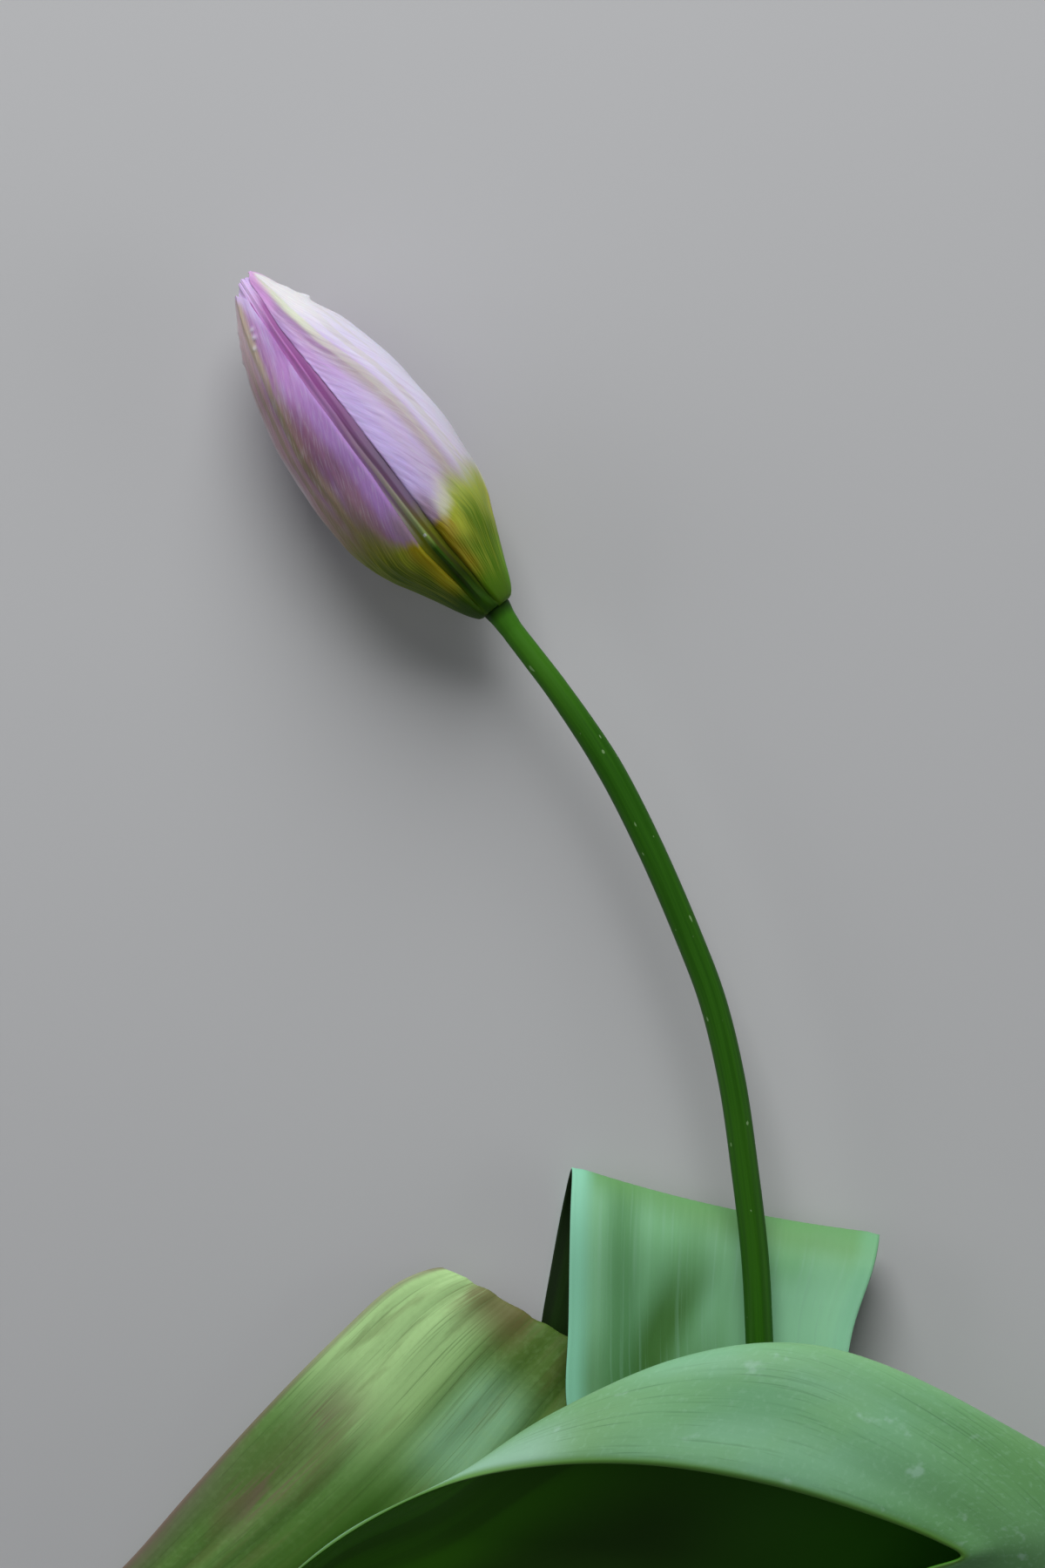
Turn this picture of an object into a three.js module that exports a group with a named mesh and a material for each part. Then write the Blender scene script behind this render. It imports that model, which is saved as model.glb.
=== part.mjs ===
// A cut lilac wonder tulip: a closed bud on a bent stem with its three basal leaves, lying on a surface.
// Millimetres, +Z up, the surface at z = 0, and +Y from the cut end of the stem towards the bud.
// Every organ is a solid of its own and stands about 0.3 mm clear of what it grows from.
import * as THREE from "three";

// Driving dimensions
const TEPAL_THICKNESS = 0.65;
const LEAF_THICKNESS = 0.7;
const CLEARANCE = 0.32; // air between organs that touch on the living flower
const RECEPTACLE_RADIUS = 0.8; // the knob at the top of the stem that carries all the flower's organs
const RECEPTACLE_HEIGHT = 2;
const BUD_HEIGHT = 8.95; // of the bud's axis: its belly is pressed flat for the last 0.2 mm
const STEM_HEIGHT = 9.6; // of the stem's axis over the surface, at the leaves
const CLASP_RADIUS = 2.5; // of a leaf's base round the stem

// Small helpers
const UP = new THREE.Vector3(0, 0, 1);
const rad = THREE.MathUtils.degToRad;
const { clamp, lerp } = THREE.MathUtils;
const point = (p) => new THREE.Vector3(...p);
const range = (n) => Array.from({ length: n }, (_, i) => i);

// A value that follows [place, value] pairs on straight lines.
function along(pairs, x) {
  const next = pairs.findIndex(([place]) => place > x);
  if (next === 0) return pairs[0][1];
  if (next < 0) return pairs.at(-1)[1];
  const [x0, y0] = pairs[next - 1];
  const [x1, y1] = pairs[next];
  return lerp(y0, y1, (x - x0) / (x1 - x0));
}

function solid(vertices, triangles) {
  const geometry = new THREE.BufferGeometry();
  const numbers = vertices.flatMap((v) => v.toArray());
  geometry.setAttribute("position", new THREE.Float32BufferAttribute(numbers, 3));
  geometry.setIndex(triangles.flat());
  geometry.computeVertexNormals();
  return geometry;
}

// A blade is a surface(u, v) thickened along its normals. Both faces are split into triangles alike.
// rows and columns list the u and v of its grid, and neither face goes below its own floor.
function blade({ surface, rows, columns, outward, inward, floors = [0, 0] }) {
  const step = 1e-3;
  const vertices = [];
  for (const u of rows) {
    for (const v of columns) {
      const middle = surface(u, v);
      const du = surface(Math.min(u + step, 1), v).sub(surface(Math.max(u - step, 0), v));
      const dv = surface(u, Math.min(v + step, 1)).sub(surface(u, Math.max(v - step, -1)));
      const normal = du.cross(dv).normalize();
      const faces = [outward, -inward].map((offset) => middle.clone().addScaledVector(normal, offset));
      faces.forEach((face, k) => (face.z = Math.max(face.z, floors[k])));
      vertices.push(...faces);
    }
  }
  const lastRow = rows.length - 1;
  const lastColumn = columns.length - 1;
  const outer = (i, j) => 2 * (i * columns.length + j);
  const triangles = [];
  for (const i of range(lastRow)) {
    for (const j of range(lastColumn)) {
      const [a, b, c, d] = [outer(i, j), outer(i + 1, j), outer(i + 1, j + 1), outer(i, j + 1)];
      triangles.push([a, b, c], [a, c, d], [a + 1, c + 1, b + 1], [a + 1, d + 1, c + 1]);
    }
  }
  const edge = [
    ...range(lastRow).map((i) => outer(i, 0)),
    ...range(lastColumn).map((j) => outer(lastRow, j)),
    ...range(lastRow).map((i) => outer(lastRow - i, lastColumn)),
    ...range(lastColumn).map((j) => outer(0, lastColumn - j)),
  ];
  edge.forEach((p, k) => {
    const q = edge[(k + 1) % edge.length];
    triangles.push([q, p, p + 1], [q, p + 1, q + 1]);
  });
  return solid(vertices, triangles);
}

// A loft joins rings of [centre, direction, radius]. lobes makes its section a soft triangle, square
// and so on.
function loft(rings, sides, lobes = 0, lobeDepth = 0) {
  const vertices = [];
  for (const [centre, direction, radius] of rings) {
    const side = direction.clone().cross(UP).normalize();
    const top = side.clone().cross(direction).normalize();
    for (const k of range(sides)) {
      const angle = (2 * Math.PI * k) / sides;
      const reach = radius * (1 + lobeDepth * Math.cos(lobes * angle));
      const corner = centre.clone().addScaledVector(side, reach * Math.cos(angle));
      vertices.push(corner.addScaledVector(top, reach * Math.sin(angle)));
    }
  }
  const last = rings.length - 1;
  const foot = vertices.push(rings[0][0].clone()) - 1;
  const head = vertices.push(rings[last][0].clone()) - 1;
  const triangles = [];
  for (const k of range(sides)) {
    const next = (k + 1) % sides;
    for (const i of range(last)) {
      const [a, b, c, d] = [i * sides + k, (i + 1) * sides + k, (i + 1) * sides + next, i * sides + next];
      triangles.push([a, b, c], [a, c, d]);
    }
    triangles.push([foot, k, next], [head, last * sides + next, last * sides + k]);
  }
  return solid(vertices, triangles);
}

// The bud: its axis leans away from the stem's foot. Angles are counted from its top towards its right.
const BUD_FOOT = new THREE.Vector3(-3.3, 20.6, BUD_HEIGHT);
const BUD_AXIS = new THREE.Vector3(-0.6108, 0.7919, 0).normalize();
const BUD_RIGHT = BUD_AXIS.clone().cross(UP);
const SEAM_ANGLE = -2.5; // of the seam between two outer tepals that looks up
const BUD_SWAY = [[0, 0], [4, -0.2], [9, -0.5], [22, -0.5], [40, -0.2], [47.5, 0]]; // fuller on its left

function budPoint(a, radius, degrees) {
  return BUD_FOOT.clone()
    .addScaledVector(BUD_AXIS, a)
    .addScaledVector(BUD_RIGHT, radius * Math.sin(rad(degrees)) + along(BUD_SWAY, a))
    .addScaledVector(UP, radius * Math.cos(rad(degrees)));
}

// The bud's outline, as distance along the axis and radius: blunt round the stem, fullest at two fifths.
const BUD_OUTLINE = new THREE.CatmullRomCurve3(
  [
    [-0.3, 1.12], [-0.25, 1.9], [0.5, 2.8], [1.6, 3.5], [3.6, 4.4], [6.3, 5.75], [8.7, 7.05], [11.5, 8.15],
    [14.5, 8.85], [19.4, 9.15], [25.6, 8.95], [31, 8.2], [37, 6.5], [43.4, 3.55], [46.5, 1.6], [47.5, 0.7],
  ].map(([a, radius]) => new THREE.Vector3(a, radius, 0)),
);

// The open slot between two outer tepals, along the axis, and the slimmer one between two inner tepals.
const OUTER_SLOT = [[0, 2.2], [4, 2.8], [10, 3.1], [20, 2.8], [30, 2.1], [40, 1.2], [47.5, 1]];
const INNER_SLOT = [[0, 1.2], [47.5, 1]];
const TEPAL_ROWS = [0, 0.02, 0.05, 0.1, 0.17, 0.25, 0.34, 0.43, 0.52, 0.61, 0.7, 0.78, 0.85, 0.91, 0.96, 1];
const OUTER_COLUMNS = [-1, -0.75, -0.5, -0.25, -0.08, 0, 0.08, 0.25, 0.5, 0.75, 1];
const INNER_COLUMNS = [-1, -0.7, -0.4, -0.1, 0, 0.1, 0.4, 0.7, 1];

// A tepal is a strip of the bud's wall, recessed under the whorl outside it. A keel runs up its middle,
// and its sides draw in to a round tip at end, as a share of the outline's length. The tip leans out.
const TIP_LEAN = [[42, 0], [47.5, 1]];

function tepal({ angle, end, recess, slot, least, keel, keelWidth, rounding, columns, floors, lean = 0 }) {
  const length = BUD_OUTLINE.getLength();
  const surface = (u, v) => {
    const s = u * end;
    const wall = BUD_OUTLINE.getPointAt(s);
    const slope = BUD_OUTLINE.getTangentAt(s);
    const a = wall.x + slope.y * recess;
    const radius = Math.max(wall.y - slope.x * recess, 0.3) + lean * along(TIP_LEAN, a);
    const free = 60 - THREE.MathUtils.radToDeg(along(slot, a) / (2 * radius));
    const toTip = clamp(((1 - u) * end * length) / rounding, 0, 1);
    const half = Math.max(free, least) * Math.max(Math.sqrt(1 - (1 - toTip) ** 2), 0.22);
    const crest = along(keel, a) * Math.max(1 - Math.abs(v * half) / keelWidth, 0);
    return budPoint(a, radius + crest, angle - v * half);
  };
  return blade({ surface, rows: TEPAL_ROWS, columns, outward: 0, inward: TEPAL_THICKNESS, floors });
}

function outerTepal(angle, end, lean = 0) {
  return tepal({
    angle: SEAM_ANGLE + angle,
    end,
    recess: 0,
    slot: OUTER_SLOT,
    least: 34,
    keel: [[20, 0], [34, 0.3], [44, 0.35], [47, 0.1]],
    keelWidth: 13,
    rounding: 4,
    columns: OUTER_COLUMNS,
    floors: [0, TEPAL_THICKNESS],
    lean,
  });
}

function innerTepal(angle) {
  const recess = TEPAL_THICKNESS + CLEARANCE;
  return tepal({
    angle: SEAM_ANGLE + angle,
    end: 0.965,
    recess,
    slot: INNER_SLOT,
    least: 28,
    keel: [[1, 0], [4, 0.45], [20, 0.4], [44, 0.25], [46, 0.1]],
    keelWidth: 6,
    rounding: 5,
    columns: INNER_COLUMNS,
    floors: [recess, recess + TEPAL_THICKNESS],
  });
}

// The organs inside the bud stand along its axis, off by a radius at an angle.
function budLoft(profile, angle, sides, lobes, lobeDepth) {
  const rings = profile.map(([a, offset, radius]) => [budPoint(a, offset, angle), BUD_AXIS, radius]);
  return loft(rings, sides, lobes, lobeDepth);
}

// The ovary tapers into three stigma lobes.
function pistil() {
  const foot = RECEPTACLE_HEIGHT + CLEARANCE;
  const profile = [
    [foot, 0, 0.8], [4, 0, 1.3], [8, 0, 1.55], [13, 0, 1.5], [16.5, 0, 1.1], [17.3, 0, 1.25],
    [18.3, 0, 1.75], [19.2, 0, 1.6], [19.6, 0, 0.7],
  ];
  return budLoft(profile, SEAM_ANGLE, 12, 3, 0.16);
}

// A filament that widens towards its foot and carries an upright anther.
function stamen(angle) {
  const profile = [
    [RECEPTACLE_HEIGHT + CLEARANCE, 1.42, 0.3], [4, 2.1, 0.5], [7, 3, 0.45], [9.4, 3.5, 0.2],
    [9.9, 3.6, 0.6], [11, 3.7, 0.85], [15, 3.7, 0.8], [17.4, 3.6, 0.5], [18, 3.6, 0.15],
  ];
  return budLoft(profile, SEAM_ANGLE + angle, 8);
}

// The stem: straight at the leaves, then one long bend towards the bud
const STEM_ROUTE = new THREE.CatmullRomCurve3(
  [
    [-2.92, 20.11, BUD_HEIGHT], [-1.3, 17.8, BUD_HEIGHT], [1.3, 14.4, 9], [4.1, 10.7, 9.1], [9.7, 2.3, 9.2],
    [14.5, -7, 9.3], [19.1, -17.6, 9.4], [21.8, -24.8, 9.5], [24, -33.9, STEM_HEIGHT],
    [25.5, -44.1, STEM_HEIGHT], [26.7, -54.5, STEM_HEIGHT], [27.2, -64, STEM_HEIGHT],
    [27.9, -84, STEM_HEIGHT], [28, -100, STEM_HEIGHT], [28, -119, STEM_HEIGHT],
  ].map(point),
);
const STEM_X = 28; // of its straight foot
const STEM_RADII = [[0, 1.75], [1.2, 1.45], [3, 1.3], [12, 1.38], [22, 1.55], [90, 1.6], [150, 1.68]];
const STEM_STEPS = 36;

// The receptacle's knob stands on the stem's flared head, among the feet of the tepals.
function stem() {
  const length = STEM_ROUTE.getLength();
  const down = BUD_AXIS.clone().negate();
  const head = STEM_ROUTE.getPointAt(0);
  const knobTop = budPoint(RECEPTACLE_HEIGHT, 0, 0);
  const rings = [
    [knobTop, down, RECEPTACLE_RADIUS * 0.7],
    [knobTop.clone().addScaledVector(down, 0.4), down, RECEPTACLE_RADIUS],
    [head, down, RECEPTACLE_RADIUS],
    [head, down, STEM_RADII[0][1]],
  ];
  const steps = range(STEM_STEPS).map((i) => (i + 1.5) / (STEM_STEPS + 0.5));
  for (const s of [1.2 / length, 3 / length, ...steps]) {
    rings.push([STEM_ROUTE.getPointAt(s), STEM_ROUTE.getTangentAt(s), along(STEM_RADII, s * length)]);
  }
  return loft(rings, 12);
}

// A leaf's foot clasps the stem at y: its margin, midrib and other margin lie at these angles round it.
function clasp(y, ...angles) {
  return angles.map((angle) => [
    STEM_X + CLASP_RADIUS * Math.cos(rad(angle)),
    y,
    STEM_HEIGHT + CLASP_RADIUS * Math.sin(rad(angle)),
  ]);
}

// A leaf runs through stations of [one margin, midrib, other margin]. Its section is a parabola through the
// three, and where it would sink into the surface it lies flat on it.
const LEAF_COLUMNS = range(9).map((j) => j / 4 - 1);
const ROWS_PER_STATION = 3;

function leaf(stations) {
  const rails = [0, 1, 2].map((k) => new THREE.CatmullRomCurve3(stations.map((s) => point(s[k]))));
  const surface = (u, v) => {
    const [margin, midrib, otherMargin] = rails.map((rail) => rail.getPoint(u));
    const place = midrib.multiplyScalar(1 - v * v);
    place.addScaledVector(margin, (v * (v - 1)) / 2).addScaledVector(otherMargin, (v * (v + 1)) / 2);
    place.z = Math.max(place.z, LEAF_THICKNESS / 2);
    return place;
  };
  const rowCount = ROWS_PER_STATION * (stations.length - 1);
  return blade({
    surface,
    rows: range(rowCount + 1).map((i) => i / rowCount),
    columns: LEAF_COLUMNS,
    outward: LEAF_THICKNESS / 2,
    inward: LEAF_THICKNESS / 2,
  });
}

// Leaves the stem to the right, turns back over it in a high arch and hangs to the left, hollow side down.
const LEAF_FRONT = [
  clasp(-116, 85, 0, -85),
  [[30.8, -108, 16], [34.5, -110, 10.5], [33.5, -112.5, 5]],
  [[33.5, -99.5, 21], [44.5, -107, 12.5], [45, -113.5, 2.5]],
  [[38.5, -92.3, 25], [57, -102, 14.5], [60, -110.5, -0.5]],
  [[45, -88.6, 27], [65, -95, 16], [70.5, -103, -0.5]],
  [[49.5, -87, 27.5], [66.5, -86, 17.5], [73, -93, 2]],
  [[46.6, -85.2, 28], [61.5, -78.5, 19.5], [70.5, -87, 4.5]],
  [[38, -81.8, 29], [50, -70.5, 21.5], [59, -90, 8.5]],
  [[27, -78.6, 29.5], [34, -64, 22.5], [40.5, -91.5, 12.5]],
  [[13.7, -76.5, 29.3], [19, -65.6, 22.5], [22, -92.5, 14.5]],
  [[0.8, -76.9, 28.3], [4, -73, 21.5], [5, -95, 14.5]],
  [[-9.7, -79.4, 26.5], [-9.5, -83.5, 20.5], [-9, -97, 14]],
  [[-20.3, -85.1, 23.5], [-21, -89, 18.5], [-20, -100, 14]],
  [[-32, -95, 17.5], [-32.5, -99, 14.5], [-31, -104.5, 12]],
  [[-44, -106.6, 9.5], [-44.3, -107, 9.5], [-44, -107.4, 9.5]],
];

// Runs left under the others, folds over at a high ridge and comes back down to the lower left.
const LEAF_LEFT = [
  clasp(-111, -95, 180, 95),
  [[21, -109.5, 3.5], [22, -107, 7.5], [24.5, -105, 10]],
  [[12, -108.5, 0.6], [14, -102, 4.2], [18.5, -98, 6.5]],
  [[1, -101.5, 0.6], [5, -92.5, 2.4], [12, -88.5, 3.6]],
  [[-8, -88, 0.8], [-1.5, -81.5, 2], [8.5, -79.5, 2.6]],
  [[-12.5, -73, 1.6], [-3, -71.5, 2.2], [10, -74, 2.4]],
  [[-12, -62.5, 2.2], [-1, -65, 2.4], [12, -71.5, 2.4]],
  [[-8.9, -56, 3.9], [2, -62.2, 3.6], [14, -70, 3.3]],
  [[-14, -57.2, 5.4], [-3, -67, 5.2], [9, -76, 4.6]],
  [[-21.4, -63.6, 6], [-11, -76, 6.2], [1, -86, 5.8]],
  [[-30.3, -72.7, 5.4], [-20, -85, 6.4], [-9, -95, 6.2]],
  [[-38.7, -82, 4.2], [-30, -93, 5.4], [-21, -102, 5.4]],
  [[-46.4, -90.8, 2.6], [-40.5, -99.5, 3.7], [-33.5, -107, 3.8]],
  [[-55, -98.5, 1.2], [-51, -105, 1.8], [-46, -110, 2]],
  [[-62.3, -110.3, 0.3], [-62.5, -110.5, 0.3], [-62.3, -110.9, 0.3]],
];

// Rises under the stem with its hollow side up, folds back at its top and lies flat beneath itself.
const LEAF_BACK = [
  clasp(-96, 190, 270, 350),
  [[20.5, -89.5, 8.8], [27.5, -89.5, 6.8], [33, -90, 8.4]],
  [[10.5, -83, 9.2], [25.5, -81, 6.6], [35.3, -82, 8.3]],
  [[5.3, -73, 9.3], [23, -71, 6.5], [36.6, -72.5, 8.3]],
  [[5.3, -62, 9], [22.5, -61, 6.5], [37.9, -63, 8.2]],
  [[5.5, -49.5, 8.3], [23, -53.5, 6.3], [40.4, -55.5, 8]],
  [[5.7, -44.2, 4.8], [23.3, -49.1, 3.6], [41.2, -52, 4.4]],
  [[4.7, -48.5, 1.2], [21.7, -53, 0.3], [40, -56.5, 1]],
  [[3.3, -56, 0.3], [17.5, -60, 0.3], [33.5, -65, 0.3]],
  [[2, -64, 0.3], [12.5, -68.5, 0.3], [24.5, -75, 0.3]],
  [[1.8, -72, 0.3], [8.2, -76, 0.3], [15, -80.5, 0.3]],
  [[4.8, -81.8, 0.3], [5.2, -82, 0.3], [5.6, -82.2, 0.3]],
];

// Colours and finishes
const finish = (color, roughness) => new THREE.MeshStandardMaterial({ color, roughness, metalness: 0 });
const LILAC = finish(0xcfa9d6, 0.5);
const LILAC_DEEP = finish(0xa85aa8, 0.5);
const STALK_GREEN = finish(0x3c7a26, 0.45);
const LEAF_GREEN = finish(0x6aa65c, 0.5);
const OVARY_GREEN = finish(0xa9bf6a, 0.5);
const POLLEN_YELLOW = finish(0xe0a92c, 0.8);

// The flower
const organs = [
  ["stem", stem(), STALK_GREEN],
  ["tepal_outer_1", outerTepal(60, 1, 0.5), LILAC],
  ["tepal_outer_2", outerTepal(-60, 0.975), LILAC],
  ["tepal_outer_3", outerTepal(180, 0.985), LILAC],
  ...[0, 120, 240].map((angle, i) => [`tepal_inner_${i + 1}`, innerTepal(angle), LILAC_DEEP]),
  ["pistil", pistil(), OVARY_GREEN],
  ...range(6).map((i) => [`stamen_${i + 1}`, stamen(60 * i), POLLEN_YELLOW]),
  ["leaf_front", leaf(LEAF_FRONT), LEAF_GREEN],
  ["leaf_left", leaf(LEAF_LEFT), LEAF_GREEN],
  ["leaf_back", leaf(LEAF_BACK), LEAF_GREEN],
];

const flower = new THREE.Group();
for (const [name, geometry, material] of organs) {
  const mesh = new THREE.Mesh(geometry, material);
  mesh.name = name;
  flower.add(mesh);
}

// The middle of the outline on the surface becomes the origin.
const middle = new THREE.Box3().setFromObject(flower).getCenter(new THREE.Vector3());
flower.position.set(-middle.x, -middle.y, 0);

const part = new THREE.Group();
part.add(flower);
export default part;
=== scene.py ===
# %% [markdown]
# # A lilac wonder tulip, cut and laid on a table
# The flower is a closed bud of six tepals on a bent stem, with three broad leaves at its foot. The
# plain model has one solid for each organ. This lesson gives each organ a finer piece of the same
# form, with its veins, folds and colours.

import math

import bpy
import numpy as np
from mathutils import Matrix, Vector


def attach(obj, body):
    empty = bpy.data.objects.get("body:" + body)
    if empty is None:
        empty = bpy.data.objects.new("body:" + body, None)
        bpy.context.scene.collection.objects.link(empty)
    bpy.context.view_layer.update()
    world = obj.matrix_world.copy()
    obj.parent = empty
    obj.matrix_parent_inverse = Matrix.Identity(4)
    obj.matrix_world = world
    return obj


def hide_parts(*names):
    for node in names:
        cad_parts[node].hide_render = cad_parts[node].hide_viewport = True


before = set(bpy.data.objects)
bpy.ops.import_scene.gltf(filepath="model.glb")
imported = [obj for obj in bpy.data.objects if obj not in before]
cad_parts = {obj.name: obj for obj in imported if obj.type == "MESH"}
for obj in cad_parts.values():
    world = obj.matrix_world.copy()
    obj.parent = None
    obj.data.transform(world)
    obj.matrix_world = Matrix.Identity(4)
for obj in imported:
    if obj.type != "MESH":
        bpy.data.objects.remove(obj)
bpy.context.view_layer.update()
print("nodes of the plain model:", sorted(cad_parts))

# %% [markdown]
# ## Units and the drawing
# A flower is easier to draw in millimetres, with the origin near the middle of the picture. Blender
# works in metres, and the plain model is centred on its own box. One function takes drawn points to
# the scene.

# %% From the drawing to the scene
MM = 0.001
DRAWING_ORIGIN = np.array([-5.4246, 30.05, 0.0])  # where the drawing's origin lies in the model, in mm


def to_scene(points):
    return (np.asarray(points, float) + DRAWING_ORIGIN) * MM


print("the drawing's origin, in metres:", to_scene([0, 0, 0]))

# %% [markdown]
# ## The camera
# The flower lies on its side and the camera looks straight down on it from about a metre. A long
# lens keeps the leaves that stand nearer to it from growing too large.

# %% Camera
scene = bpy.context.scene
CAMERA_HEIGHT = 959.3
camera_data = bpy.data.cameras.new("camera")
camera_data.lens = 190
camera_data.sensor_width = 36
camera = bpy.data.objects.new("camera", camera_data)
camera.location = to_scene([0, 0, CAMERA_HEIGHT])
scene.collection.objects.link(camera)
scene.camera = camera
scene.view_settings.view_transform = "Standard"
print("camera at", tuple(round(x, 3) for x in camera.location))

# %% [markdown]
# ## Floor and light
# The bud is bright on its upper right and the hollow under the front leaf is nearly black, so one
# large soft light comes in low from beyond the bud. Two weak ones draw pale rims on both sides.


# %% Light and floor
def soft_light(name, place, aim, size, power):
    data = bpy.data.lights.new(name, "AREA")
    data.size = size
    data.energy = power
    light = bpy.data.objects.new(name, data)
    light.location = place
    light.rotation_euler = (Vector(aim) - Vector(place)).to_track_quat("-Z", "Y").to_euler()
    light.visible_camera = False
    scene.collection.objects.link(light)


MIDDLE = (0.0, 0.0, 0.01)
soft_light("key", (-0.05, 0.72, 0.50), MIDDLE, size=0.6, power=7.6)
soft_light("left rim", (-0.72, 0.15, 0.25), MIDDLE, size=0.5, power=1.3)
soft_light("right rim", (0.72, -0.1, 0.25), MIDDLE, size=0.5, power=0.9)
soft_light("fill", (-0.25, -0.1, 1.2), MIDDLE, size=0.9, power=0.7)

world = bpy.data.worlds.new("studio")
world.use_nodes = True
sky = world.node_tree.nodes["Background"]
sky.inputs["Color"].default_value = (0.8, 0.82, 0.86, 1)
sky.inputs["Strength"].default_value = 0.07
scene.world = world

FLOOR_HALF = 2.0
floor_mesh = bpy.data.meshes.new("floor")
corners = [(x * FLOOR_HALF, y * FLOOR_HALF, 0) for x, y in ((-1, -1), (1, -1), (1, 1), (-1, 1))]
floor_mesh.from_pydata(corners, [], [(0, 1, 2, 3)])
floor = bpy.data.objects.new("floor", floor_mesh)
scene.collection.objects.link(floor)

# %% [markdown]
# ## Curves and relief
# Plants have few straight lines, so nearly every form here hangs on a spline through a few measured
# points. A soft random relief, the sum of some waves, keeps surfaces from looking cast.


# %% Splines
def unit(vectors):
    return vectors / np.maximum(np.linalg.norm(vectors, axis=-1, keepdims=True), 1e-9)


def along(pairs, x):
    """A value that follows (place, value) pairs on straight lines."""
    places, values = zip(*pairs)
    return np.interp(x, places, values)


def spline(points, t):
    """Points of a centripetal Catmull-Rom curve, for t from 0 to 1."""
    p = np.asarray(points, float)
    p = np.vstack([2 * p[0] - p[1], p, 2 * p[-1] - p[-2]])
    spans = len(p) - 3
    place = np.asarray(t, float) * spans
    i = np.clip(place.astype(int), 0, spans - 1)
    w = (place - i)[..., None]
    p0, p1, p2, p3 = p[i], p[i + 1], p[i + 2], p[i + 3]
    gaps = (p1 - p0, p2 - p1, p3 - p2)
    d0, d1, d2 = (np.linalg.norm(gap, axis=-1, keepdims=True) ** 0.5 for gap in gaps)
    leave = ((p1 - p0) / d0 - (p2 - p0) / (d0 + d1) + (p2 - p1) / d1) * d1
    arrive = ((p2 - p1) / d1 - (p3 - p1) / (d1 + d2) + (p3 - p2) / d2) * d1
    bend = 3 * (p2 - p1) - 2 * leave - arrive
    return p1 + w * (leave + w * (bend + w * (2 * (p1 - p2) + leave + arrive)))


ROUTE_STEPS = 4000


class Route:
    """A spline that knows its point and its heading at a distance from its start."""

    def __init__(self, points):
        self.points = spline(points, np.linspace(0, 1, ROUTE_STEPS))
        steps = np.linalg.norm(np.diff(self.points, axis=0), axis=1)
        self.distance = np.concatenate([[0], np.cumsum(steps)])
        self.length = self.distance[-1]

    def at(self, distance):
        return np.stack([np.interp(distance, self.distance, axis) for axis in self.points.T], -1)

    def heading(self, distance):
        reach = 0.1
        ahead = self.at(np.minimum(distance + reach, self.length))
        behind = self.at(np.maximum(distance - reach, 0))
        return unit(ahead - behind)


print("a route round a corner of 1 and 1 mm:", round(Route([(0, 0), (1, 0), (1, 1)]).length, 2), "mm")

# %% Relief
WAVES = 24


def ripple(x, y, seed):
    """A random relief of about 1, made of waves about as long as 1 in x and in y."""
    draw = np.random.default_rng(seed)
    total = 0
    for _ in range(WAVES):
        angle, start = draw.uniform(0, 2 * math.pi, 2)
        pace = 2 * math.pi * draw.uniform(0.6, 1.3)
        total = total + np.sin(pace * (math.cos(angle) * x + math.sin(angle) * y) + start)
    return total / math.sqrt(WAVES + 1)


def rise(x, low, high):
    """0 below low and 1 above high, with a smooth step between them."""
    t = np.clip((x - low) / (high - low), 0, 1)
    return t * t * (3 - 2 * t)


def ridge(x, centre, width):
    """1 on the centre line, with a round fall to 0 on both sides."""
    return np.exp(-(((x - centre) / width) ** 2))


print("a relief sample:", np.round(ripple(np.arange(4.0), np.zeros(4), 1), 2))

# %% [markdown]
# ## From a grid to a closed blade
# A tepal or a leaf is a sheet with two faces and a rim, so its mesh is closed. Numbers that the
# finishes need, such as the distance from the margin, are kept on its points. Its texture map has
# the upper face in one half and the under face in the other.


# %% Mesh pieces
def add_piece(name, points, polygons, uv, marks):
    mesh = bpy.data.meshes.new(name)
    mesh.from_pydata(to_scene(points), [], polygons)
    mesh.uv_layers.new(name="OFBake").data.foreach_set("uv", np.ascontiguousarray(uv, np.float32).ravel())
    for mark, values in marks.items():
        values = np.ascontiguousarray(values, np.float32).ravel()
        mesh.attributes.new(mark, "FLOAT", "POINT").data.foreach_set("value", values)
    mesh.shade_smooth()
    piece = bpy.data.objects.new(name, mesh)
    scene.collection.objects.link(piece)
    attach(piece, "root")
    print(name, "has", sum(len(p) - 2 for p in polygons), "triangles")
    return piece


def grid_normals(grid):
    return unit(np.cross(np.gradient(grid, axis=0), np.gradient(grid, axis=1)))


def blade(name, grid, outward, inward, floors, marks):
    """A closed sheet: the grid moved both ways along its normals, never below its floors."""
    normals = grid_normals(grid)
    faces = [grid + normals * outward[..., None], grid - normals * inward[..., None]]
    for face, floor_height in zip(faces, floors):
        face[..., 2] = np.maximum(face[..., 2], floor_height)
    rows, columns = grid.shape[:2]
    count = rows * columns
    index = np.arange(count).reshape(rows, columns)
    quads = np.stack([index[:-1, :-1], index[1:, :-1], index[1:, 1:], index[:-1, 1:]], -1).reshape(-1, 4)
    rim = np.concatenate([index[:-1, 0], index[-1, :-1], index[:0:-1, -1], index[0, :0:-1]])
    after = np.roll(rim, -1)
    sides = np.stack([after, rim, rim + count, after + count], -1)
    polygons = np.concatenate([quads, quads[:, ::-1] + count, sides]).tolist()
    uv = blade_uv(rows, columns, quads, len(rim))
    both = {mark: np.stack([values, values]) for mark, values in marks.items()}
    both["face"] = np.repeat([1, -1], count)
    return add_piece(name, np.concatenate([face.reshape(-1, 3) for face in faces]), polygons, uv, both)


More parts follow.
